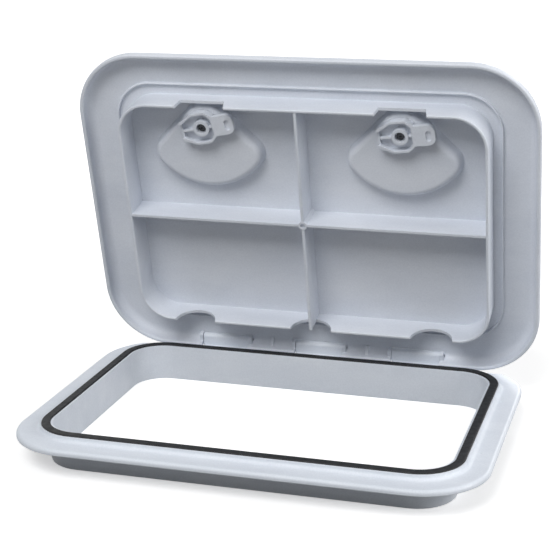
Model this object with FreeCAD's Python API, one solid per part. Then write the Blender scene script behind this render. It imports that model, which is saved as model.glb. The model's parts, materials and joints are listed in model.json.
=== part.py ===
import FreeCAD, Part
import math
import os

# Access hatch for a boat deck, with a hinged lid that stands open.
# Millimetres. The origin is the middle of the deck cut-out on the deck plane,
# +X runs along the hinge, +Y points to the hinge and +Z points up.
# The lid is drawn closed and then turned open about the hinge pins.

# Lid outline
LID_WIDTH = 440.0
LID_DEPTH = 315.0
LID_RADIUS = 63.0
LID_TOP = 18.0
LID_EDGE_ROUND = 10.5
LIP_EDGE = 2.0
LIP_WALL = 4.2
LIP_COVE = 7.5
LIP_ROUND = 1.7
BAND_UNDERSIDE = 14.4
PANEL_UNDERSIDE = 15.4
TREAD_MARGIN = 30.0
TREAD_RAISE = 0.6
TREAD_RADIUS = 38.0
OPEN_ANGLE = 76.5

# Frame, in from the lid edge to the hatchway
FLANGE_INSET_SIDE = 10.2
FLANGE_INSET_FRONT = 5.9
FLANGE_RADIUS = 60.0
FLANGE_THICKNESS = 5.2
FLANGE_ROUND = 3.2
FLANGE_LOWER_ROUND = 0.8
FLANGE_REACH = 25.6
SEAL_LINE_RADIUS = 36.0
COAMING_TOP = 9.8
COAMING_WALL = 1.4
COAMING_COVE = 4.0
COAMING_ROUND = 0.45
OPENING_SETBACK = 7.5
OPENING_RADIUS = 30.5
INNER_DRAFT = 1.7
NECK_HEIGHT = 24.0
NECK_WALL = 4.4
NECK_DRAFT = 4.8
NECK_RADIUS = 35.0
NECK_ROUND = 1.2

# Rubber seal
SEAL_WIDTH = 8.0
SEAL_TOP = 11.0
SEAL_ROUND = 1.2
SEAL_FIT = 0.05
GROOVE_DEPTH = 5.0
BEAD_GAP = 0.3
BEAD_WIDTH = 1.8
BEAD_ROUND = 0.7

# Screw dimples in the flange
DIMPLE_RADIUS = 1.7
DIMPLE_DEPTH = 0.6
DIMPLE_INSET = 14.0
DIMPLE_PITCH_FRONT = 120.0
DIMPLE_PITCH_SIDE = 125.0

# Skirt and ribs under the lid
SKIRT_GAP = 1.0
SKIRT_FRONT_GAP = 2.85
SKIRT_WALL = 3.0
SKIRT_RADIUS = 32.0
SKIRT_EDGE = -15.0
SKIRT_ROUND = 1.1
RIB_WALL = 2.6
RIB_SETBACK = 0.5
RIB_OFFSET = 1.5
RIB_BOSS_RADIUS = 4.3
RIB_BOSS_DIMPLE = 2.2
RIB_BOSS_DEPTH = 2.0
ARCH_RADIUS = 20.7
ARCH_DROP = 2.0
ARCH_PITCH = 119.5

# Hinge
HINGE_INSET = 6.5
BARREL_RADIUS = 4.25
PIN_RADIUS = 1.5
PIN_FIT = 0.03
PIN_CLEARANCE = 0.06
ARM_WIDTH = 48.0
ARM_PITCH = 98.5
ARM_SIDE_GAP = 0.35
ARM_ROOT_LENGTH = 7.0
ARM_FOOT_COVE = 1.5
ARM_TOE_HEIGHT = 1.2
ARM_TAIL_GAP = 0.4
ARM_TAIL_RISE = 2.5
ARM_TAIL_ROUND = 5.0
ARM_TOE_ROUND = 2.0
ARM_FRONT_GAP = 0.35
CHEEK_WALL = 3.5
CHEEK_REACH = 5.0
CHEEK_DROP = 5.5
CHEEK_ROUND = 2.0
GUSSET_WALL = 3.2
GUSSET_TIP = 1.5
GUSSET_FOOT = 3.5
BACK_FLANGE_GAP = 11.5

# Latches
LATCH_SPACING = 189.0
LATCH_INSET = 68.0
LATCH_TURN_LEFT = 12.0
LATCH_TURN_RIGHT = 7.0
PAN_APEX_RADIUS = 19.5
PAN_CORNER_RADIUS = 15.0
PAN_CORNER_X = 36.9
PAN_CORNER_Y = 30.6
PAN_WALL = 2.5
PAN_FLOOR = 6.0
PAN_DRAFT = 3.0
PAN_ROUND = 6.0

# Turning handle and shaft
HANDLE_LENGTH = 57.0
HANDLE_HUB_RADIUS = 12.4
HANDLE_ROOT_HALF = 10.5
HANDLE_TIP_HALF = 8.5
HANDLE_TIP_ROUND = 6.0
HANDLE_ROUND = 1.6
HANDLE_LIFT = 1.2
HANDLE_SINK = 0.3
GRIP_WALL = 2.4
GRIP_START = 15.0
GRIP_DEPTH = 6.5
GRIP_CORNER = 1.0
HANDLE_AHEAD = 135.0
SHAFT_RADIUS = 5.5
SHAFT_CLEARANCE = 0.07
DRIVE_WIDTH = 7.6
DRIVE_LENGTH = 2.0
DRIVE_ROUND = 1.0
DRIVE_FIT = 0.05
ORING_SECTION = 0.9
ORING_RADIUS = 7.6
ORING_GAP = 0.3
ORING_FIT = 0.1

# Latch arm under the lid
ARM_GAP = 1.0
ARM_HEIGHT = 8.5
ARM_FLOOR = 2.0
ARM_RIM = 2.2
ARM_HEEL = 21.3
ARM_HEEL_HALF = 8.7
ARM_HEEL_ROUND = 1.5
ARM_BELLY_BACK = 7.2
ARM_BELLY_BACK_ROUND = 5.0
ARM_BELLY_FRONT = 6.4
ARM_BELLY_FRONT_ROUND = 4.0
ARM_BELLY_HALF = 15.4
ARM_NECK_REACH = 13.3
ARM_NECK_ROUND = 1.0
HUB_RADIUS = 7.9
HUB_BORE = 4.8
HUB_FLOOR = 1.2
WEB_WALL = 2.0
WEB_SINK = 0.8
HEEL_SINK = 3.0
TONGUE_REACH = 32.5
TONGUE_HALF = 9.8
TONGUE_CORNER = 7.0
TONGUE_THICKNESS = 4.5
SLOT_CENTRE = 26.3
SLOT_OFFSET = 0.8
SLOT_LENGTH = 10.0
SLOT_WIDTH = 4.8
SLOT_DEPTH = 1.8
SLOT_END_ROUND = 2.35

# Screw and washer of each latch
SCREW_RADIUS = 2.0
SCREW_LENGTH = 11.0
SCREW_FIT = 0.05
HEAD_RADIUS = 3.9
HEAD_HEIGHT = 2.0
HEAD_ROUND = 0.8
SOCKET_WIDTH = 2.5
SOCKET_DEPTH = 1.2
WASHER_RADIUS = 8.6
WASHER_THICKNESS = 0.8

# Way of the latch tongue through the skirt and into the frame
TONGUE_ROOM = 0.4
POCKET_HALF = 16.6
POCKET_ROOM = 1.2
POCKET_ROUND = 1.2
NOTCH_HALF_EDGE = 21.2
NOTCH_HALF_TOP = 19.6
NOTCH_SWEEP_EDGE = 27.0
NOTCH_SWEEP_TOP = 23.4
NOTCH_TOP = -0.5

# Extra length of shapes that cut, overlap of shapes that are joined, and how
# far an edge may stray from a level that it counts as lying at
CUT = 1.0
JOIN = 1.0
LEVEL_TOLERANCE = 0.01
X_AXIS = FreeCAD.Vector(1, 0, 0)
Y_AXIS = FreeCAD.Vector(0, 1, 0)
Z_AXIS = FreeCAD.Vector(0, 0, 1)

# Sizes that follow from the ones above
flange_width = LID_WIDTH - 2 * FLANGE_INSET_SIDE
flange_depth = LID_DEPTH - 2 * FLANGE_INSET_FRONT
seal_line_width = flange_width - 2 * FLANGE_REACH
seal_line_depth = flange_depth - 2 * FLANGE_REACH
opening_width = seal_line_width - 2 * OPENING_SETBACK
opening_depth = seal_line_depth - 2 * OPENING_SETBACK
skirt_width = opening_width - 2 * SKIRT_GAP
skirt_depth = opening_depth - SKIRT_GAP - SKIRT_FRONT_GAP
skirt_middle = (SKIRT_FRONT_GAP - SKIRT_GAP) / 2
skirt_front = skirt_middle - skirt_depth / 2
skirt_back = skirt_middle + skirt_depth / 2
groove_floor = COAMING_TOP - GROOVE_DEPTH
hinge_y = LID_DEPTH / 2 - HINGE_INSET
hinge_z = LID_TOP - BARREL_RADIUS
latch_y = -LID_DEPTH / 2 + LATCH_INSET
pan_underside = PAN_FLOOR - PAN_WALL
arm_top = pan_underside - ARM_GAP
arm_face = arm_top - ARM_HEIGHT
tongue_top = arm_face + TONGUE_THICKNESS
handle_bottom = PAN_FLOOR + HANDLE_LIFT
handle_top = LID_TOP + TREAD_RAISE - HANDLE_SINK
shaft_end = arm_top - DRIVE_LENGTH


def point(x, y, z):
    return FreeCAD.Vector(x, y, z)


def rounded_path(corners, place):
    """Closed wire through corners (a, b, radius), each rounded by a tangent arc."""
    edges = []
    starts = []
    ends = []
    count = len(corners)
    for i in range(count):
        a, b, radius = corners[i]
        before = corners[i - 1]
        after = corners[(i + 1) % count]
        here = point(a, b, 0)
        back = (point(before[0], before[1], 0) - here).normalize()
        ahead = (point(after[0], after[1], 0) - here).normalize()
        if radius > 0:
            half = back.getAngle(ahead) / 2
            reach = radius / math.tan(half)
            middle = (back + ahead).normalize() * (radius / math.sin(half) - radius)
            starts.append(here + back * reach)
            ends.append(here + ahead * reach)
            spots = [here + back * reach, here + middle, here + ahead * reach]
            spots = [place(s.x, s.y) for s in spots]
            edges.append(Part.Arc(spots[0], spots[1], spots[2]).toShape())
        else:
            starts.append(here)
            ends.append(here)
            edges.append(None)
    outline = []
    for i in range(count):
        if edges[i] is not None:
            outline.append(edges[i])
        leave = ends[i]
        arrive = starts[(i + 1) % count]
        if (arrive - leave).Length > Part.Precision.confusion():
            outline.append(Part.makeLine(place(leave.x, leave.y), place(arrive.x, arrive.y)))
    return Part.Wire(outline)


def flat(z):
    return lambda a, b: point(a, b, z)


def oblong(width, depth, radius, z):
    """Wire of a rectangle with round corners about the origin."""
    w = width / 2
    d = depth / 2
    corners = [(w, -d, radius), (w, d, radius), (-w, d, radius), (-w, -d, radius)]
    return rounded_path(corners, flat(z))


def prism(wire, height):
    return Part.Face(wire).extrude(point(0, 0, height))


def block(width, depth, radius, low, high, middle=0.0):
    """Upright block with round corners, its middle on the Y axis."""
    made = prism(oblong(width, depth, radius, low), high - low)
    made.translate(point(0, middle, 0))
    return made


def tapered(lower_wire, upper_wire):
    return Part.makeLoft([lower_wire, upper_wire], True, True)


def slab_x(corners, centre_x, width):
    """Outline in Y and Z drawn out along X about centre_x."""
    wire = rounded_path(corners, lambda a, b: point(centre_x - width / 2, a, b))
    return Part.Face(wire).extrude(point(width, 0, 0))


def slab_y(corners, low_y, high_y):
    """Outline in X and Z drawn out along Y."""
    wire = rounded_path(corners, lambda a, b: point(a, low_y, b))
    return Part.Face(wire).extrude(point(0, high_y - low_y, 0))


def rod_x(radius, centre_x, length, y, z):
    return Part.makeCylinder(radius, length, point(centre_x - length / 2, y, z), X_AXIS)


def rod_z(radius, low, high, x=0.0, y=0.0):
    return Part.makeCylinder(radius, high - low, point(x, y, low), Z_AXIS)


def edges_at(shape, z):
    """Edges that lie wholly at one height."""
    found = []
    for edge in shape.Edges:
        box = edge.BoundBox
        if max(abs(box.ZMin - z), abs(box.ZMax - z)) < LEVEL_TOLERANCE:
            found.append(edge)
    return found


def rounded_at(shape, z, radius):
    return shape.makeFillet(radius, edges_at(shape, z))


def union(shapes):
    joined = shapes[0].fuse(shapes[1:])
    return joined.removeSplitter()


def hinge_spots():
    return [-ARM_PITCH, 0.0, ARM_PITCH]


def opened(shape):
    """Turn a piece of the closed lid to the open pose."""
    turned = shape.copy()
    turned.rotate(point(0, hinge_y, hinge_z), X_AXIS, -OPEN_ANGLE)
    return turned


# Frame

def hinge_arm(centre_x):
    """Upright lug behind the flange, rounded over the hinge pin."""
    back = LID_DEPTH / 2 - ARM_TAIL_GAP
    root = hinge_y - BACK_FLANGE_GAP - ARM_ROOT_LENGTH
    front = hinge_y - BARREL_RADIUS
    lug = slab_x([
        (root, ARM_TOE_HEIGHT, 0),
        (root, FLANGE_THICKNESS, 0),
        (front, FLANGE_THICKNESS, ARM_FOOT_COVE),
        (front, hinge_z, 0),
        (hinge_y, hinge_z + ARM_TAIL_RISE, 0),
        (back, hinge_z + ARM_TAIL_RISE, ARM_TAIL_ROUND),
        (back, ARM_TOE_HEIGHT, ARM_TOE_ROUND),
    ], centre_x, ARM_WIDTH)
    return [lug, rod_x(BARREL_RADIUS, centre_x, ARM_WIDTH, hinge_y, hinge_z)]


def tongue_pocket(hub_x):
    """Blind pocket in the front wall that the latch tongue turns into."""
    wall_y = -opening_depth / 2
    deepest = latch_y - TONGUE_REACH - POCKET_ROOM
    low = arm_face - 2 * TONGUE_ROOM
    high = tongue_top + TONGUE_ROOM
    corners = [
        (hub_x - POCKET_HALF, low, POCKET_ROUND),
        (hub_x + POCKET_HALF, low, POCKET_ROUND),
        (hub_x + POCKET_HALF, high, POCKET_ROUND),
        (hub_x - POCKET_HALF, high, POCKET_ROUND),
    ]
    return slab_y(corners, deepest, wall_y + CUT)


def screw_dimple(x, y):
    return Part.makeCone(0, DIMPLE_RADIUS, DIMPLE_DEPTH,
                         point(x, y, FLANGE_THICKNESS - DIMPLE_DEPTH), Z_AXIS)


def make_frame():
    flange = block(flange_width, flange_depth, FLANGE_RADIUS, 0, FLANGE_THICKNESS)
    back_edge = hinge_y - BACK_FLANGE_GAP
    behind = Part.makeBox(LID_WIDTH, LID_DEPTH, LID_TOP, point(-LID_WIDTH / 2, back_edge, -CUT))
    flange = flange.cut(behind)
    flange = rounded_at(flange, FLANGE_THICKNESS, FLANGE_ROUND)
    flange = rounded_at(flange, 0, FLANGE_LOWER_ROUND)

    rim = SEAL_WIDTH / 2 + SEAL_FIT + COAMING_WALL
    coaming = block(seal_line_width + 2 * rim, seal_line_depth + 2 * rim,
                    SEAL_LINE_RADIUS + rim, JOIN, COAMING_TOP)
    body = flange.fuse(coaming)
    reach = seal_line_width / 2 + rim + LEVEL_TOLERANCE
    foot = [e for e in edges_at(body, FLANGE_THICKNESS)
            if max(e.BoundBox.XMax, -e.BoundBox.XMin) < reach
            and e.BoundBox.YMin > LEVEL_TOLERANCE - back_edge
            and e.BoundBox.YMax < back_edge - FLANGE_ROUND - LEVEL_TOLERANCE]
    body = body.makeFillet(COAMING_COVE, foot)
    body = rounded_at(body, COAMING_TOP, COAMING_ROUND)

    neck_width = opening_width + 2 * NECK_WALL
    neck_depth = opening_depth + 2 * NECK_WALL
    neck = tapered(
        oblong(neck_width, neck_depth, NECK_RADIUS, -NECK_HEIGHT),
        oblong(neck_width + 2 * NECK_DRAFT, neck_depth + 2 * NECK_DRAFT,
               NECK_RADIUS + NECK_DRAFT, JOIN))
    neck = rounded_at(neck, -NECK_HEIGHT, NECK_ROUND)
    arms = []
    for x in hinge_spots():
        arms += hinge_arm(x)
    body = body.fuse([neck] + arms)

    hatchway = tapered(
        oblong(opening_width, opening_depth, OPENING_RADIUS, -NECK_HEIGHT - CUT),
        oblong(opening_width + 2 * INNER_DRAFT, opening_depth + 2 * INNER_DRAFT,
               OPENING_RADIUS, COAMING_TOP + CUT))
    half = SEAL_WIDTH / 2 + SEAL_FIT
    groove = block(seal_line_width + 2 * half, seal_line_depth + 2 * half,
                   SEAL_LINE_RADIUS + half, groove_floor, COAMING_TOP + CUT)
    land = block(seal_line_width - 2 * half, seal_line_depth - 2 * half,
                 SEAL_LINE_RADIUS - half, groove_floor, COAMING_TOP + CUT)
    cuts = [hatchway, groove.cut(land)]
    for side in (-1, 1):
        cuts.append(tongue_pocket(side * LATCH_SPACING / 2))
        side_x = side * (flange_width / 2 - DIMPLE_INSET)
        for end in (-1, 1):
            cuts.append(screw_dimple(side_x, end * DIMPLE_PITCH_SIDE / 2))
    for x in (-DIMPLE_PITCH_FRONT, 0, DIMPLE_PITCH_FRONT):
        cuts.append(screw_dimple(x, -flange_depth / 2 + DIMPLE_INSET))
    for x in hinge_spots():
        cuts.append(rod_x(PIN_RADIUS + PIN_FIT, x, ARM_WIDTH + CUT, hinge_y, hinge_z))
    return body.cut(cuts).removeSplitter()


def make_seal():
    half = SEAL_WIDTH / 2
    outer = block(seal_line_width + 2 * half, seal_line_depth + 2 * half,
                  SEAL_LINE_RADIUS + half, groove_floor + SEAL_FIT, SEAL_TOP)
    inner = block(seal_line_width - 2 * half, seal_line_depth - 2 * half,
                  SEAL_LINE_RADIUS - half, groove_floor - CUT, SEAL_TOP + CUT)
    return rounded_at(outer.cut(inner), SEAL_TOP, SEAL_ROUND)


def make_hinge_pin(centre_x):
    length = ARM_WIDTH + 2 * ARM_SIDE_GAP + 2 * CHEEK_WALL
    return rod_x(PIN_RADIUS, centre_x, length, hinge_y, hinge_z)


# Lid

def pan_outline(grow, hub_x, z):
    """Fan about the latch hub: round apex, straight sides, wide arc."""
    apex = PAN_APEX_RADIUS + grow
    corner = PAN_CORNER_RADIUS + grow
    spread = math.hypot(PAN_CORNER_X, PAN_CORNER_Y)
    bearing = math.atan2(PAN_CORNER_Y, PAN_CORNER_X)
    lean = math.asin((apex - corner) / spread)
    side = bearing - math.pi / 2 + lean
    wide = spread + corner

    def spot(centre_x, centre_y, radius, angle):
        return point(hub_x + centre_x + radius * math.cos(angle),
                     latch_y + centre_y + radius * math.sin(angle), z)

    def mirrored(p):
        return point(2 * hub_x - p.x, p.y, p.z)

    apex_end = spot(0, 0, apex, side)
    bottom = spot(0, 0, apex, -math.pi / 2)
    corner_start = spot(PAN_CORNER_X, PAN_CORNER_Y, corner, side)
    corner_end = spot(0, 0, wide, bearing)
    corner_middle = spot(PAN_CORNER_X, PAN_CORNER_Y, corner, (side + bearing) / 2)
    top = spot(0, 0, wide, math.pi / 2)
    return Part.Wire([
        Part.Arc(mirrored(apex_end), bottom, apex_end).toShape(),
        Part.makeLine(apex_end, corner_start),
        Part.Arc(corner_start, corner_middle, corner_end).toShape(),
        Part.Arc(corner_end, top, mirrored(corner_end)).toShape(),
        Part.Arc(mirrored(corner_end), mirrored(corner_middle), mirrored(corner_start)).toShape(),
        Part.makeLine(mirrored(corner_start), mirrored(apex_end)),
    ])


def pan_shell(hub_x):
    shell = tapered(pan_outline(0, hub_x, pan_underside),
                    pan_outline(PAN_DRAFT, hub_x, LID_TOP - JOIN))
    return rounded_at(shell, pan_underside, PAN_ROUND)


def pan_recess(hub_x):
    recess = tapered(pan_outline(-PAN_WALL, hub_x, PAN_FLOOR),
                     pan_outline(PAN_DRAFT - PAN_WALL, hub_x, LID_TOP + TREAD_RAISE + CUT))
    return rounded_at(recess, PAN_FLOOR, PAN_ROUND - PAN_WALL)


def hinge_cheek(inner_x, direction):
    """Plate beside a hinge arm that takes the end of the pin."""
    wall = LID_DEPTH / 2 - LIP_WALL / 2
    front = hinge_y - CHEEK_REACH
    low = hinge_z - CHEEK_DROP
    return slab_x([
        (front, LID_TOP - JOIN, 0),
        (front, low, CHEEK_ROUND),
        (wall, low, 0),
        (wall, LID_TOP - JOIN, 0),
    ], inner_x + direction * CHEEK_WALL / 2, CHEEK_WALL)


def lip_gusset(centre_x):
    """Small web in the corner of band and lip, midway between two hinge arms."""
    wall = LID_DEPTH / 2 - LIP_WALL / 2
    front = hinge_y - CHEEK_REACH
    return slab_x([
        (front, BAND_UNDERSIDE + JOIN, 0),
        (front, BAND_UNDERSIDE - GUSSET_TIP, 0),
        (wall, LIP_EDGE + GUSSET_FOOT, 0),
        (wall, BAND_UNDERSIDE + JOIN, 0),
    ], centre_x, GUSSET_WALL)


def latch_notch(hub_x):
    """Gap in the front of the skirt, wider on the side that the tongue comes in from."""
    corners = [
        (hub_x - NOTCH_HALF_EDGE, SKIRT_EDGE - CUT, 0),
        (hub_x + NOTCH_SWEEP_EDGE, SKIRT_EDGE - CUT, 0),
        (hub_x + NOTCH_SWEEP_TOP, NOTCH_TOP, POCKET_ROUND),
        (hub_x - NOTCH_HALF_TOP, NOTCH_TOP, POCKET_ROUND),
    ]
    return slab_y(corners, skirt_front - CUT, skirt_front + SKIRT_WALL + CUT)


def back_arch(centre_x):
    start = point(centre_x, skirt_back - SKIRT_WALL - CUT, SKIRT_EDGE - ARCH_DROP)
    return Part.makeCylinder(ARCH_RADIUS, SKIRT_WALL + 2 * CUT, start, Y_AXIS)


def make_skirt():
    outer = block(skirt_width, skirt_depth, SKIRT_RADIUS,
                  SKIRT_EDGE, LID_TOP - JOIN, skirt_middle)
    inner = block(skirt_width - 2 * SKIRT_WALL, skirt_depth - 2 * SKIRT_WALL,
                  SKIRT_RADIUS - SKIRT_WALL, SKIRT_EDGE - CUT, PANEL_UNDERSIDE, skirt_middle)
    skirt = rounded_at(outer.cut(inner), SKIRT_EDGE, SKIRT_ROUND)
    cuts = [latch_notch(side * LATCH_SPACING / 2) for side in (-1, 1)]
    cuts += [back_arch(x) for x in (-ARCH_PITCH, 0, ARCH_PITCH)]
    return skirt.cut(cuts)


def make_ribs():
    """Cross of ribs as deep as the skirt, with a dimpled boss where they meet."""
    low = SKIRT_EDGE + RIB_SETBACK
    height = LID_TOP - JOIN - low
    length_x = skirt_width - SKIRT_WALL
    length_y = skirt_depth - SKIRT_WALL
    along_x = Part.makeBox(length_x, RIB_WALL, height,
                           point(-length_x / 2, RIB_OFFSET - RIB_WALL / 2, low))
    along_y = Part.makeBox(RIB_WALL, length_y, height,
                           point(-RIB_WALL / 2, skirt_middle - length_y / 2, low))
    boss = rod_z(RIB_BOSS_RADIUS, SKIRT_EDGE, LID_TOP - JOIN, 0, RIB_OFFSET)
    dimple = rod_z(RIB_BOSS_DIMPLE, SKIRT_EDGE - CUT, SKIRT_EDGE + RIB_BOSS_DEPTH, 0, RIB_OFFSET)
    return union([along_x, along_y, boss]).cut(dimple)


def make_bead():
    """Ridge under the lid that presses on the middle of the seal."""
    low = SEAL_TOP + BEAD_GAP
    half = BEAD_WIDTH / 2
    outer = block(seal_line_width + 2 * half, seal_line_depth + 2 * half,
                  SEAL_LINE_RADIUS + half, low, LID_TOP - JOIN)
    inner = block(seal_line_width - 2 * half, seal_line_depth - 2 * half,
                  SEAL_LINE_RADIUS - half, low - CUT, LID_TOP)
    return rounded_at(outer.cut(inner), low, BEAD_ROUND)


def make_lid():
    envelope = block(LID_WIDTH, LID_DEPTH, LID_RADIUS, LIP_EDGE, LID_TOP)
    envelope = rounded_at(envelope, LID_TOP, LID_EDGE_ROUND)
    hollow = block(LID_WIDTH - 2 * LIP_WALL, LID_DEPTH - 2 * LIP_WALL,
                   LID_RADIUS - LIP_WALL, LIP_EDGE - CUT, BAND_UNDERSIDE)
    hollow = rounded_at(hollow, BAND_UNDERSIDE, LIP_COVE)
    cover = rounded_at(envelope.cut(hollow), LIP_EDGE, LIP_ROUND)
    well = block(skirt_width - SKIRT_WALL, skirt_depth - SKIRT_WALL,
                 SKIRT_RADIUS - SKIRT_WALL, LIP_EDGE, PANEL_UNDERSIDE, skirt_middle)
    tread = block(LID_WIDTH - 2 * TREAD_MARGIN, LID_DEPTH - 2 * TREAD_MARGIN,
                  TREAD_RADIUS, LID_TOP - JOIN, LID_TOP + TREAD_RAISE)
    hubs = [side * LATCH_SPACING / 2 for side in (-1, 1)]
    slot_half = ARM_WIDTH / 2 + ARM_SIDE_GAP
    webs = [lip_gusset(side * ARM_PITCH / 2) for side in (-1, 1)]
    for x in hinge_spots():
        webs += [hinge_cheek(x + side * slot_half, side) for side in (-1, 1)]
    pieces = [tread, make_skirt(), make_ribs(), make_bead()]
    pieces += [pan_shell(x) for x in hubs] + [web.common(envelope) for web in webs]
    lid = cover.cut(well).fuse(pieces)

    cuts = [pan_recess(x) for x in hubs]
    cuts += [rod_z(SHAFT_RADIUS + SHAFT_CLEARANCE, pan_underside - CUT, LID_TOP, x, latch_y)
             for x in hubs]
    slot_front = hinge_y - BARREL_RADIUS - ARM_FRONT_GAP
    for x in hinge_spots():
        cuts.append(Part.makeBox(2 * slot_half, LID_DEPTH, LID_DEPTH,
                                 point(x - slot_half, slot_front, -LID_DEPTH / 2)))
        pin_length = 2 * (slot_half + CHEEK_WALL + CUT)
        cuts.append(rod_x(PIN_RADIUS + PIN_CLEARANCE, x, pin_length, hinge_y, hinge_z))
    return opened(lid.cut(cuts).removeSplitter())


# Latches, drawn about their own axis with the tongue along +X

def seated(shape, hub_x, turn):
    """Turn a latch piece by its rest angle, put it at its hub and open it."""
    placed = shape.copy()
    placed.rotate(point(0, 0, 0), Z_AXIS, -turn)
    placed.translate(point(hub_x, latch_y, 0))
    return opened(placed)


def make_handle():
    """Lever that lies in the fan-shaped recess, on the shaft that turns the arm."""
    root = HANDLE_ROOT_HALF
    tip = HANDLE_TIP_HALF
    lever = prism(rounded_path([
        (0, -root, 0),
        (HANDLE_LENGTH, -tip, HANDLE_TIP_ROUND),
        (HANDLE_LENGTH, tip, HANDLE_TIP_ROUND),
        (0, root, 0),
    ], flat(handle_bottom)), handle_top - handle_bottom)
    knob = rod_z(HANDLE_HUB_RADIUS, handle_bottom, handle_top)
    lever = union([rounded_at(shape, handle_top, HANDLE_ROUND) for shape in (lever, knob)])
    grip = prism(rounded_path([
        (GRIP_START, GRIP_WALL - root, GRIP_CORNER),
        (HANDLE_LENGTH - GRIP_WALL, GRIP_WALL - tip, HANDLE_TIP_ROUND - GRIP_WALL),
        (HANDLE_LENGTH - GRIP_WALL, tip - GRIP_WALL, HANDLE_TIP_ROUND - GRIP_WALL),
        (GRIP_START, root - GRIP_WALL, GRIP_CORNER),
    ], flat(handle_bottom - CUT)), GRIP_DEPTH + CUT)
    lever = lever.cut(grip)
    lever.rotate(point(0, 0, 0), Z_AXIS, HANDLE_AHEAD)
    shaft = rod_z(SHAFT_RADIUS, arm_top, handle_bottom + JOIN)
    drive = block(DRIVE_WIDTH, DRIVE_WIDTH, DRIVE_ROUND, shaft_end, arm_top + JOIN)
    handle = union([lever, shaft, drive])
    gland_top = PAN_FLOOR + ORING_GAP + 2 * ORING_SECTION + ORING_FIT
    gland = rod_z(ORING_RADIUS + ORING_SECTION + ORING_FIT, handle_bottom - CUT, gland_top)
    gland = gland.cut(rod_z(ORING_RADIUS - ORING_SECTION - ORING_FIT, handle_bottom - CUT, gland_top))
    thread = rod_z(SCREW_RADIUS + SCREW_FIT, shaft_end - CUT, shaft_end + SCREW_LENGTH)
    return handle.cut([gland, thread])


def make_oring():
    return Part.makeTorus(ORING_RADIUS, ORING_SECTION,
                          point(0, 0, PAN_FLOOR + ORING_GAP + ORING_SECTION), Z_AXIS)


def make_washer():
    low = arm_top + (ARM_GAP - WASHER_THICKNESS) / 2
    disc = rod_z(WASHER_RADIUS, low, low + WASHER_THICKNESS)
    return disc.cut(rod_z(SHAFT_RADIUS + SHAFT_CLEARANCE, low - CUT, low + 2 * WASHER_THICKNESS))


def arm_corners(inset):
    """Body of the arm, waisted toward heel and tongue."""
    belly = ARM_BELLY_HALF - inset
    heel = ARM_HEEL_HALF - inset
    neck = TONGUE_HALF - inset
    half = [
        (ARM_NECK_REACH - inset, neck, ARM_NECK_ROUND),
        (ARM_BELLY_FRONT, belly, ARM_BELLY_FRONT_ROUND),
        (-ARM_BELLY_BACK, belly, ARM_BELLY_BACK_ROUND),
        (-ARM_HEEL + inset, heel, ARM_HEEL_ROUND),
    ]
    return half + [(x, -y, r) for x, y, r in reversed(half)]


def make_latch_arm():
    """Ribbed arm with a hub, a centre web and a flat tongue."""
    body = prism(rounded_path(arm_corners(0), flat(arm_face)), ARM_HEIGHT)
    well = prism(rounded_path(arm_corners(ARM_RIM), flat(arm_face - CUT)),
                 ARM_HEIGHT - ARM_FLOOR + CUT)
    tongue = prism(rounded_path([
        (ARM_BELLY_FRONT, -TONGUE_HALF, 0),
        (TONGUE_REACH, -TONGUE_HALF, TONGUE_CORNER),
        (TONGUE_REACH, TONGUE_HALF, TONGUE_CORNER),
        (ARM_BELLY_FRONT, TONGUE_HALF, 0),
    ], flat(arm_face)), TONGUE_THICKNESS)
    hub = rod_z(HUB_RADIUS, arm_face, arm_top)
    web_length = ARM_HEEL + ARM_NECK_REACH - ARM_RIM
    web = Part.makeBox(web_length, WEB_WALL, ARM_HEIGHT - WEB_SINK,
                       point(ARM_RIM / 2 - ARM_HEEL, -WEB_WALL / 2, arm_face + WEB_SINK))
    heel_gap = Part.makeBox(2 * ARM_RIM, 2 * (ARM_HEEL_HALF - ARM_RIM), HEEL_SINK + CUT,
                            point(-ARM_HEEL - CUT, ARM_RIM - ARM_HEEL_HALF, arm_face - CUT))
    arm = tongue.cut(well).fuse([body.cut(well), hub, web]).removeSplitter()

    bore = rod_z(HUB_BORE, arm_face - CUT, shaft_end - HUB_FLOOR)
    hole = rod_z(SCREW_RADIUS + 2 * SCREW_FIT, arm_face, arm_top + CUT)
    drive = DRIVE_WIDTH + 2 * DRIVE_FIT
    socket = block(drive, drive, DRIVE_ROUND, shaft_end, arm_top + CUT)
    slot = block(SLOT_WIDTH, SLOT_LENGTH, SLOT_END_ROUND,
                 arm_face - CUT, arm_face + SLOT_DEPTH, SLOT_OFFSET)
    slot.translate(point(SLOT_CENTRE, 0, 0))
    return arm.cut([bore, hole, socket, slot, heel_gap])


def make_screw():
    seat = shaft_end - HUB_FLOOR
    head = rod_z(HEAD_RADIUS, seat - HEAD_HEIGHT, seat)
    head = rounded_at(head, seat - HEAD_HEIGHT, HEAD_ROUND)
    socket = prism(Part.makePolygon([
        point(SOCKET_WIDTH / math.sqrt(3) * math.cos(k * math.pi / 3),
              SOCKET_WIDTH / math.sqrt(3) * math.sin(k * math.pi / 3),
              seat - HEAD_HEIGHT - CUT) for k in range(7)]), SOCKET_DEPTH + CUT)
    shank = rod_z(SCREW_RADIUS, seat, shaft_end + SCREW_LENGTH - CUT)
    return union([head.cut(socket), shank])


def save(name, shape):
    if not shape.isValid() or len(shape.Solids) != 1:
        print("check this piece:", name, shape.isValid(), len(shape.Solids))
    shape.Solids[0].exportStep(os.path.join("parts", name + ".step"))


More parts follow.
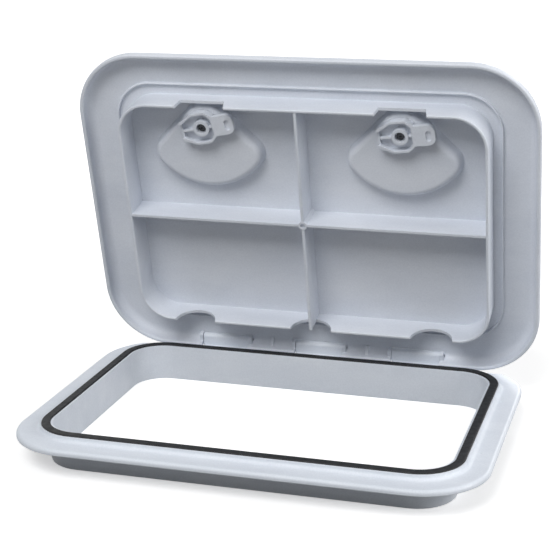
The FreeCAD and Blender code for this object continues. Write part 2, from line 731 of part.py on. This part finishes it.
os.makedirs("parts", exist_ok=True)
save("frame", make_frame())
save("seal", make_seal())
for side_name, spot_x in zip(("left", "middle", "right"), hinge_spots()):
    save("hinge_pin_" + side_name, make_hinge_pin(spot_x))
save("lid", make_lid())
latch_pieces = {
    "latch_handle": make_handle(),
    "shaft_oring": make_oring(),
    "latch_washer": make_washer(),
    "latch_arm": make_latch_arm(),
    "latch_screw": make_screw(),
}
for side_name, spot_x, rest_turn in (
        ("left", -LATCH_SPACING / 2, LATCH_TURN_LEFT),
        ("right", LATCH_SPACING / 2, LATCH_TURN_RIGHT)):
    for piece_name, piece in latch_pieces.items():
        save(piece_name + "_" + side_name, seated(piece, spot_x, rest_turn))
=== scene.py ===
import json
import math

import bmesh
import bpy
from mathutils import Matrix, Vector


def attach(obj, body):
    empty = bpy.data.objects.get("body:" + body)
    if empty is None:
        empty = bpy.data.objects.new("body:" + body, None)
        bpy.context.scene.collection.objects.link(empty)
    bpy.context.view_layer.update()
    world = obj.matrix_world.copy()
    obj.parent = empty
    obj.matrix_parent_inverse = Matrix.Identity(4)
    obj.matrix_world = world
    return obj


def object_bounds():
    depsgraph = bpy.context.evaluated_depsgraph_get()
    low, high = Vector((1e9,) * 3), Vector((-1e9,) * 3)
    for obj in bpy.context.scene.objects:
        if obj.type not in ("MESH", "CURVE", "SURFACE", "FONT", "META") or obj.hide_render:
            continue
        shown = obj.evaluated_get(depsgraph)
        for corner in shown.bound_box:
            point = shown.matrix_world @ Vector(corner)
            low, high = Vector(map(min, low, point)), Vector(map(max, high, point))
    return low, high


# Looks of an access hatch with its lid open. Metres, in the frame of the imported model:
# the origin is the middle of the deck cut-out, +X runs along the hinge, +Z is up.

MM = 0.001

# Camera, at the photograph's viewing angle
IMAGE_SIZE = 560
FOCAL_PIXELS = 1435.2
SENSOR_WIDTH = 36.0
CAMERA_TARGET = Vector((-0.1098, 0.3793, 0.011))
CAMERA_DISTANCE = 1.6879
CAMERA_AZIMUTH = math.radians(16.67)
CAMERA_ELEVATION = math.radians(15.99)
CAMERA_ROLL = math.radians(-0.535)
CLIP_NEAR = 0.05
CLIP_FAR = 60.0

# Lid: the hinge line, the angle that it stands open at and its levels when it is shut
HINGE_Y = 151.0 * MM
HINGE_Z = 13.75 * MM
OPEN_ANGLE = math.radians(76.5)
LID_TOP = 18.0 * MM
TREAD_RAISE = 0.6 * MM
PANEL_UNDERSIDE = 15.4 * MM
BAND_UNDERSIDE = 14.4 * MM

# Non-skid field on the outer face of the lid
GRIP_PITCH = 7.0 * MM
GRIP_WIDTH = 3.4 * MM
GRIP_TOP_SHARE = 0.72
GRIP_HEIGHT = 0.5 * MM
GRIP_SINK = 0.15 * MM
GRIP_HALF_X = 181.0 * MM
GRIP_HALF_Y = 118.5 * MM
GRIP_CORNER = 34.0 * MM
DIAMOND = ((1, 0), (0, 1), (-1, 0), (0, -1))

# Latch recesses, which the field leaves free: the shaft's place, the way from there to
# the recess's outer corner, and the room kept round both
LATCH_X = 94.5 * MM
LATCH_Y = -89.5 * MM
PAN_CORNER_X = 36.9 * MM
PAN_CORNER_Y = 30.6 * MM
PAN_APEX_CLEAR = 23.0 * MM
PAN_CORNER_CLEAR = 18.5 * MM

# Marks that moulding leaves inside the lid, in millimetres: radius and rise of each
# profile, and the spots on the shut lid
MARK_STEPS = 40
MARK_SINK = 0.05
MERGE_DISTANCE = 0.001 * MM
RING_PROFILE = [(3.55, -MARK_SINK), (3.75, 0.1), (4.05, 0.1), (4.3, -MARK_SINK)]
RING_SPOTS = [(51.7, -137.4), (156.3, -134.9)]
PIP_PROFILE = [(0.0, 0.45), (0.35, 0.38), (0.6, 0.12), (0.75, -MARK_SINK)]
PIP_SPOTS = [("band", 202.7, 92.0, BAND_UNDERSIDE), ("panel", -138.6, 27.5, PANEL_UNDERSIDE)]

# Joint in the seal: rise along the seal and drop across it, in millimetres
SEAL_LINE_Y = 126.0 * MM
SEAL_TOP = 11.0 * MM
SPLICE_X = -2.3 * MM
SPLICE_HALF = 3.9 * MM
SPLICE_ALONG = [(-1.0, -0.1), (-0.45, 0.15), (-0.12, 0.2), (0.0, 0.06),
                (0.12, 0.2), (0.45, 0.15), (1.0, -0.1)]
SPLICE_ACROSS = [(-1.0, 0.9), (-0.85, 0.15), (0.0, 0.0), (0.85, 0.15), (1.0, 0.9)]

# Surface detail: sizes of the noises, in waves a metre, and depths of the bumps
NOISE_LOW = 0.3
NOISE_HIGH = 0.7
EDGE_RADIUS = 0.6 * MM
EDGE_SAMPLES = 6
CLOUD_WAVES = 9
FLOW_WAVES = 26
SPECKLE_WAVES = 620
GLOSS_WAVES = 70
RIPPLE_WAVES = 30
RIPPLE_DEPTH = 0.5 * MM
GRAIN_WAVES = 1500
DUST_WAVES = 55
RUBBER_GLOSS_WAVES = 180
PIT_WAVES = 1100
PIT_DEPTH = 0.1 * MM
DRAWN_WAVES = 900
DRAWN_DEPTH = 0.02 * MM

# Floor and light: the floor glows for the camera, more so away from the hatch
FLOOR_SIZE = 14.0
FLOOR_COLOUR = 0.86
FLOOR_BOUNCE = 0.2
FLOOR_NEAR = 0.35
FLOOR_FAR = 1.1
FLOOR_GLOW_NEAR = 0.45
FLOOR_GLOW_FAR = 0.95
WORLD_LIGHT = 0.22

# Each lamp's place, the spot that it faces, its width, height and power
LAMPS = [
    ("key", (-0.35, -1.75, 2.05), (0, 0.05, 0.08), 1.6, 1.2, 46.0),
    ("side", (2.2, -0.05, 1.0), (0, 0.1, 0.12), 1.2, 1.2, 30.0),
    ("back", (0.3, 2.4, 0.85), (0, 0.15, 0.17), 1.0, 0.5, 16.0),
]

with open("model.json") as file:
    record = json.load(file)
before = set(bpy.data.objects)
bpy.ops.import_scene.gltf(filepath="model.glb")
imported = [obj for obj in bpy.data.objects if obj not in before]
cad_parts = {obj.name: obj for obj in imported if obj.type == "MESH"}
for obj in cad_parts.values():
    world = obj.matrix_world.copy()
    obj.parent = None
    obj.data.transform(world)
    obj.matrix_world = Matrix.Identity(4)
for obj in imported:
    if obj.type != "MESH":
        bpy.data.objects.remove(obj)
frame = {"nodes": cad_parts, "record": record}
cad_low, cad_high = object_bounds()
scene = bpy.context.scene

# From where a spot is on the shut lid to where it is on the open one
lid_pose = (Matrix.Translation((0, HINGE_Y, HINGE_Z))
            @ Matrix.Rotation(-OPEN_ANGLE, 4, "X")
            @ Matrix.Translation((0, -HINGE_Y, -HINGE_Z)))


# Materials

def srgb(red, green, blue):
    """Colour written as 0 to 255 screen levels, as linear values."""
    def linear(level):
        share = level / 255
        return share / 12.92 if share <= 0.04045 else ((share + 0.055) / 1.055) ** 2.4
    return (linear(red), linear(green), linear(blue), 1.0)


WHITE = srgb(255, 255, 255)
FLOW_TINT = srgb(244, 245, 247)
SPECKLE_TINT = srgb(247, 247, 248)


class Shader:
    """A material and short ways to add to it."""

    def __init__(self, name, roughness, specular=0.5):
        self.material = bpy.data.materials.new(name)
        self.material.use_nodes = True
        self.tree = self.material.node_tree
        self.body = self.tree.nodes["Principled BSDF"]
        self.body.inputs["Roughness"].default_value = roughness
        self.body.inputs["Specular IOR Level"].default_value = specular
        self.place = self.tree.nodes.new("ShaderNodeTexCoord").outputs["Object"]

    def node(self, kind, **settings):
        made = self.tree.nodes.new(kind)
        for key, value in settings.items():
            setattr(made, key, value)
        return made

    def link(self, output, target):
        self.tree.links.new(output, target)

    def noise(self, waves, detail=3.0, roughness=0.5, distortion=0.0, stretch=None):
        """Noise over the piece's own coordinates, stretched where stretch is given."""
        made = self.node("ShaderNodeTexNoise")
        made.inputs["Scale"].default_value = waves
        made.inputs["Detail"].default_value = detail
        made.inputs["Roughness"].default_value = roughness
        made.inputs["Distortion"].default_value = distortion
        place = self.place
        if stretch:
            mapping = self.node("ShaderNodeMapping")
            mapping.inputs["Scale"].default_value = stretch
            self.link(self.place, mapping.inputs["Vector"])
            place = mapping.outputs["Vector"]
        self.link(place, made.inputs["Vector"])
        return made.outputs["Fac"]

    def between(self, factor, low, high, start=NOISE_LOW, end=NOISE_HIGH):
        """Colour that runs from low to high as factor goes from start to end."""
        ramp = self.node("ShaderNodeValToRGB")
        ramp.color_ramp.elements[0].position = start
        ramp.color_ramp.elements[0].color = low
        ramp.color_ramp.elements[1].position = end
        ramp.color_ramp.elements[1].color = high
        self.link(factor, ramp.inputs["Fac"])
        return ramp.outputs["Color"]

    def multiply(self, first, second):
        mix = self.node("ShaderNodeMix", data_type="RGBA", blend_type="MULTIPLY")
        mix.inputs["Factor"].default_value = 1.0
        self.link(first, mix.inputs["A"])
        self.link(second, mix.inputs["B"])
        return mix.outputs["Result"]

    def span(self, factor, low, high):
        """Number that follows a noise from low to high."""
        made = self.node("ShaderNodeMapRange")
        made.inputs["From Min"].default_value = NOISE_LOW
        made.inputs["From Max"].default_value = NOISE_HIGH
        made.inputs["To Min"].default_value = low
        made.inputs["To Max"].default_value = high
        self.link(factor, made.inputs["Value"])
        return made.outputs["Result"]

    def bump(self, height, depth, strength, under=None):
        """Normals that follow a height, on top of the normals under it."""
        made = self.node("ShaderNodeBump")
        made.inputs["Strength"].default_value = strength
        made.inputs["Distance"].default_value = depth
        self.link(height, made.inputs["Height"])
        if under is not None:
            self.link(under, made.inputs["Normal"])
        return made.outputs["Normal"]

    def soft_edges(self, radius):
        """Normals that round the sharp edges of a moulding by radius."""
        made = self.node("ShaderNodeBevel", samples=EDGE_SAMPLES)
        made.inputs["Radius"].default_value = radius
        return made.outputs["Normal"]

    def finish(self, color, roughness, normal):
        for source, name in ((color, "Base Color"), (roughness, "Roughness"), (normal, "Normal")):
            self.link(source, self.body.inputs[name])
        return self.material


def moulded_plastic(name, pale, deep, grain_depth, roughness):
    """Pale satin plastic: faint flow marks, a fine eroded grain and soft edges."""
    shader = Shader(name, roughness)
    cloudy = shader.noise(CLOUD_WAVES, detail=4, distortion=0.6)
    flow = shader.noise(FLOW_WAVES, detail=5, roughness=0.6, stretch=(0.35, 1.6, 1.0))
    speckle = shader.noise(SPECKLE_WAVES, detail=2, roughness=0.7)
    color = shader.between(cloudy, deep, pale, 0.25, 0.7)
    color = shader.multiply(color, shader.between(flow, FLOW_TINT, WHITE))
    color = shader.multiply(color, shader.between(speckle, SPECKLE_TINT, WHITE))
    patchy = shader.noise(GLOSS_WAVES, detail=6, roughness=0.65)
    gloss = shader.span(patchy, roughness - 0.06, roughness + 0.07)
    normal = shader.soft_edges(EDGE_RADIUS)
    normal = shader.bump(shader.noise(RIPPLE_WAVES, detail=2), RIPPLE_DEPTH, 0.12, normal)
    grain = shader.noise(GRAIN_WAVES, detail=3, roughness=0.7)
    normal = shader.bump(grain, grain_depth, 0.35, normal)
    return shader.finish(color, gloss, normal)


def rubber(name, deep, pale, roughness):
    """Black extruded rubber, dusty and finely pitted."""
    shader = Shader(name, roughness, specular=0.35)
    dust = shader.noise(DUST_WAVES, detail=6, roughness=0.7, distortion=0.4)
    color = shader.between(dust, deep, pale, 0.35, 0.8)
    patchy = shader.noise(RUBBER_GLOSS_WAVES, detail=4)
    gloss = shader.span(patchy, roughness - 0.08, roughness + 0.1)
    pits = shader.noise(PIT_WAVES, detail=4, roughness=0.75)
    normal = shader.bump(pits, PIT_DEPTH, 0.5)
    return shader.finish(color, gloss, normal)


def steel(name, deep, pale):
    """Drawn steel with fine lines round the pin."""
    shader = Shader(name, 0.28)
    shader.body.inputs["Metallic"].default_value = 1.0
    lines = shader.noise(DRAWN_WAVES, detail=4, roughness=0.6, stretch=(0.04, 1.0, 1.0))
    color = shader.between(lines, deep, pale)
    gloss = shader.span(lines, 0.22, 0.42)
    normal = shader.bump(lines, DRAWN_DEPTH, 0.4)
    return shader.finish(color, gloss, normal)


# Pale colour, deep colour, depth of the grain and roughness
PLASTICS = {
    "frame_plastic": (srgb(229, 234, 241), srgb(222, 228, 236), 0.05 * MM, 0.45),
    "lid_plastic": (srgb(229, 233, 240), srgb(221, 226, 234), 0.05 * MM, 0.45),
    "latch_plastic": (srgb(226, 230, 237), srgb(219, 224, 232), 0.04 * MM, 0.4),
    "washer_plastic": (srgb(226, 225, 220), srgb(216, 215, 209), 0.02 * MM, 0.35),
}
# Deep colour, pale colour and roughness
RUBBERS = {
    "seal_rubber": (srgb(17, 18, 20), srgb(34, 35, 38), 0.6),
    "oring_rubber": (srgb(24, 24, 25), srgb(38, 38, 39), 0.5),
}
# Deep colour and pale colour
STEELS = {
    "stainless": (srgb(176, 178, 182), srgb(214, 215, 217)),
    "screw_steel": (srgb(38, 39, 41), srgb(62, 63, 66)),
}

finishes = {}
for make, kinds in ((moulded_plastic, PLASTICS), (rubber, RUBBERS), (steel, STEELS)):
    for slot, values in kinds.items():
        finishes[slot] = make(slot, *values)

for part in frame["record"]["subparts"]:
    node = frame["nodes"][part["node"]]
    node.data.materials.clear()
    node.data.materials.append(finishes[part["material_slot"]])


# Small pieces that the solids leave out

def add_piece(name, shape, body, slot, smooth=True):
    """Make a shape a piece that rides on a body, in the finish of a slot."""
    mesh = bpy.data.meshes.new(name)
    shape.to_mesh(mesh)
    shape.free()
    if smooth:
        mesh.shade_smooth()
    mesh.materials.append(finishes[slot])
    piece = bpy.data.objects.new(name, mesh)
    scene.collection.objects.link(piece)
    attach(piece, body)


def inside_pan(x, y):
    """Whether a spot of the lid's top lies in or close to a latch recess."""
    x = abs(abs(x) - LATCH_X)
    y = y - LATCH_Y
    spread = math.hypot(PAN_CORNER_X, PAN_CORNER_Y)
    lowest = math.atan2(PAN_CORNER_Y, PAN_CORNER_X)
    if math.hypot(x, y) < spread + PAN_CORNER_CLEAR and math.atan2(y, x) > lowest:
        return True
    share = (x * PAN_CORNER_X + y * PAN_CORNER_Y) / spread ** 2
    share = max(0.0, min(1.0, share))
    off_line = math.hypot(x - share * PAN_CORNER_X, y - share * PAN_CORNER_Y)
    return off_line < PAN_APEX_CLEAR + share * (PAN_CORNER_CLEAR - PAN_APEX_CLEAR)


def inside_field(x, y):
    """Whether a spot of the lid's top lies in the field, whose corners are round."""
    dx = max(0.0, abs(x) - (GRIP_HALF_X - GRIP_CORNER))
    dy = max(0.0, abs(y) - (GRIP_HALF_Y - GRIP_CORNER))
    return math.hypot(dx, dy) <= GRIP_CORNER


def diamond_ring(shape, x, y, half, level):
    """Four points round a spot of the shut lid's top, carried to the open lid."""
    return [shape.verts.new(lid_pose @ Vector((x + a * half, y + b * half, level)))
            for a, b in DIAMOND]


def make_grip():
    """Rows of low blunt pyramids, set in a diamond pattern."""
    shape = bmesh.new()
    foot = LID_TOP + TREAD_RAISE - GRIP_SINK
    peak = foot + GRIP_SINK + GRIP_HEIGHT
    half = GRIP_WIDTH / 2
    rows = int(GRIP_HALF_Y / GRIP_PITCH * 2) + 1
    columns = int(GRIP_HALF_X / GRIP_PITCH) + 1
    for row in range(-rows, rows + 1):
        y = row * GRIP_PITCH / 2
        shift = GRIP_PITCH / 2 if row % 2 else 0.0
        for column in range(-columns, columns + 1):
            x = column * GRIP_PITCH + shift
            if not inside_field(x, y) or inside_pan(x, y):
                continue
            low = diamond_ring(shape, x, y, half, foot)
            top = diamond_ring(shape, x, y, half * GRIP_TOP_SHARE, peak)
            shape.faces.new(top)
            for i in range(4):
                j = (i + 1) % 4
                shape.faces.new((low[i], low[j], top[j], top[i]))
    return shape


def make_mark(profile, x, y, level):
    """Surface of revolution that stands out from the inner face of the shut lid."""
    shape = bmesh.new()
    rings = []
    for radius, rise in profile:
        ring = []
        for step in range(MARK_STEPS):
            angle = 2 * math.pi * step / MARK_STEPS
            spot_x = (x + radius * math.cos(angle)) * MM
            spot_y = (y + radius * math.sin(angle)) * MM
            spot = Vector((spot_x, spot_y, level - rise * MM))
            ring.append(shape.verts.new(lid_pose @ spot))
        rings.append(ring)
    for inner, outer in zip(rings, rings[1:]):
        for step in range(MARK_STEPS):
            after = (step + 1) % MARK_STEPS
            shape.faces.new((inner[step], inner[after], outer[after], outer[step]))
    bmesh.ops.remove_doubles(shape, verts=shape.verts, dist=MERGE_DISTANCE)
    return shape


def make_splice():
    """Low double ridge across the seal, where its two ends are joined."""
    shape = bmesh.new()
    rows = []
    for across, drop in SPLICE_ACROSS:
        y = SEAL_LINE_Y + across * SPLICE_HALF
        rows.append([shape.verts.new((SPLICE_X + along * MM, y, SEAL_TOP + (rise - drop) * MM))
                     for along, rise in SPLICE_ALONG])
    for low, high in zip(rows, rows[1:]):
        for i in range(len(SPLICE_ALONG) - 1):
            shape.faces.new((low[i], low[i + 1], high[i + 1], high[i]))
    return shape


add_piece("lid_grip", make_grip(), "lid", "lid_plastic", smooth=False)
for number, (x, y) in enumerate(RING_SPOTS, start=1):
    ring_mark = make_mark(RING_PROFILE, x, y, BAND_UNDERSIDE)
    add_piece("lid_ring_mark_%d" % number, ring_mark, "lid", "lid_plastic")
for place, x, y, level in PIP_SPOTS:
    pip = make_mark(PIP_PROFILE, x, y, level)
    add_piece("lid_pip_" + place, pip, "lid", "lid_plastic")
add_piece("seal_splice", make_splice(), "frame", "seal_rubber")


# Camera

def add_camera():
    level = math.cos(CAMERA_ELEVATION)
    back = Vector((math.sin(CAMERA_AZIMUTH) * level,
                   -math.cos(CAMERA_AZIMUTH) * level,
                   math.sin(CAMERA_ELEVATION)))
    data = bpy.data.cameras.new("camera")
    data.sensor_width = SENSOR_WIDTH
    data.lens = FOCAL_PIXELS / IMAGE_SIZE * SENSOR_WIDTH
    data.clip_start = CLIP_NEAR
    data.clip_end = CLIP_FAR
    camera = bpy.data.objects.new("camera", data)
    camera.matrix_world = (Matrix.Translation(CAMERA_TARGET + back * CAMERA_DISTANCE)
                           @ (-back).to_track_quat("-Z", "Y").to_matrix().to_4x4()
                           @ Matrix.Rotation(CAMERA_ROLL, 4, "Z"))
    scene.collection.objects.link(camera)
    scene.camera = camera


# Floor and light

def rays_that_see_white(tree):
    """1 for rays from the camera and through gloss or glass, otherwise 0."""
    path = tree.nodes.new("ShaderNodeLightPath")
    total = path.outputs["Is Camera Ray"]
    for name in ("Is Glossy Ray", "Is Transmission Ray"):
        either = tree.nodes.new("ShaderNodeMath")
        either.operation = "MAXIMUM"
        tree.links.new(total, either.inputs[0])
        tree.links.new(path.outputs[name], either.inputs[1])
        total = either.outputs[0]
    return total


def floor_material():
    """Matt floor that looks paler than the light that it throws back."""
    material = bpy.data.materials.new("floor")
    material.use_nodes = True
    tree = material.node_tree
    tree.nodes.clear()
    link = tree.links.new
    matt = tree.nodes.new("ShaderNodeBsdfDiffuse")
    tint = tree.nodes.new("ShaderNodeMix")
    tint.data_type = "RGBA"
    tint.inputs["A"].default_value = (FLOOR_BOUNCE, FLOOR_BOUNCE, FLOOR_BOUNCE, 1)
    tint.inputs["B"].default_value = (FLOOR_COLOUR, FLOOR_COLOUR, FLOOR_COLOUR, 1)
    seen = rays_that_see_white(tree)
    link(seen, tint.inputs["Factor"])
    link(tint.outputs["Result"], matt.inputs["Color"])
    glow = tree.nodes.new("ShaderNodeEmission")
    link(seen, glow.inputs["Strength"])
    spot = tree.nodes.new("ShaderNodeTexCoord")
    distance = tree.nodes.new("ShaderNodeVectorMath")
    distance.operation = "LENGTH"
    link(spot.outputs["Object"], distance.inputs[0])
    level = tree.nodes.new("ShaderNodeMapRange")
    level.inputs["From Min"].default_value = FLOOR_NEAR
    level.inputs["From Max"].default_value = FLOOR_FAR
    level.inputs["To Min"].default_value = FLOOR_GLOW_NEAR
    level.inputs["To Max"].default_value = FLOOR_GLOW_FAR
    link(distance.outputs["Value"], level.inputs["Value"])
    link(level.outputs["Result"], glow.inputs["Color"])
    total = tree.nodes.new("ShaderNodeAddShader")
    link(matt.outputs[0], total.inputs[0])
    link(glow.outputs[0], total.inputs[1])
    output = tree.nodes.new("ShaderNodeOutputMaterial")
    link(total.outputs[0], output.inputs["Surface"])
    return material


def add_floor():
    shape = bmesh.new()
    bmesh.ops.create_grid(shape, x_segments=2, y_segments=2, size=FLOOR_SIZE / 2)
    mesh = bpy.data.meshes.new("floor")
    shape.to_mesh(mesh)
    shape.free()
    mesh.materials.append(floor_material())
    floor = bpy.data.objects.new("floor", mesh)
    floor.location = (0, 0, cad_low.z)
    scene.collection.objects.link(floor)


def add_world():
    world = bpy.data.worlds.new("world")
    scene.world = world
    world.use_nodes = True
    tree = world.node_tree
    background = tree.nodes["Background"]
    background.inputs["Color"].default_value = (1, 1, 1, 1)
    strength = tree.nodes.new("ShaderNodeMapRange")
    strength.inputs["To Min"].default_value = WORLD_LIGHT
    strength.inputs["To Max"].default_value = 1.0
    tree.links.new(rays_that_see_white(tree), strength.inputs["Value"])
    tree.links.new(strength.outputs["Result"], background.inputs["Strength"])


def add_lamp(name, place, aim, width, height, power):
    data = bpy.data.lights.new(name, "AREA")
    data.shape = "RECTANGLE"
    data.size = width
    data.size_y = height
    data.energy = power
    lamp = bpy.data.objects.new(name, data)
    lamp.location = place
    lamp.rotation_mode = "QUATERNION"
    lamp.rotation_quaternion = (Vector(aim) - Vector(place)).to_track_quat("-Z", "Y")
    scene.collection.objects.link(lamp)


add_camera()
add_floor()
add_world()
for lamp_values in LAMPS:
    add_lamp(*lamp_values)

scene.view_settings.view_transform = "Standard"
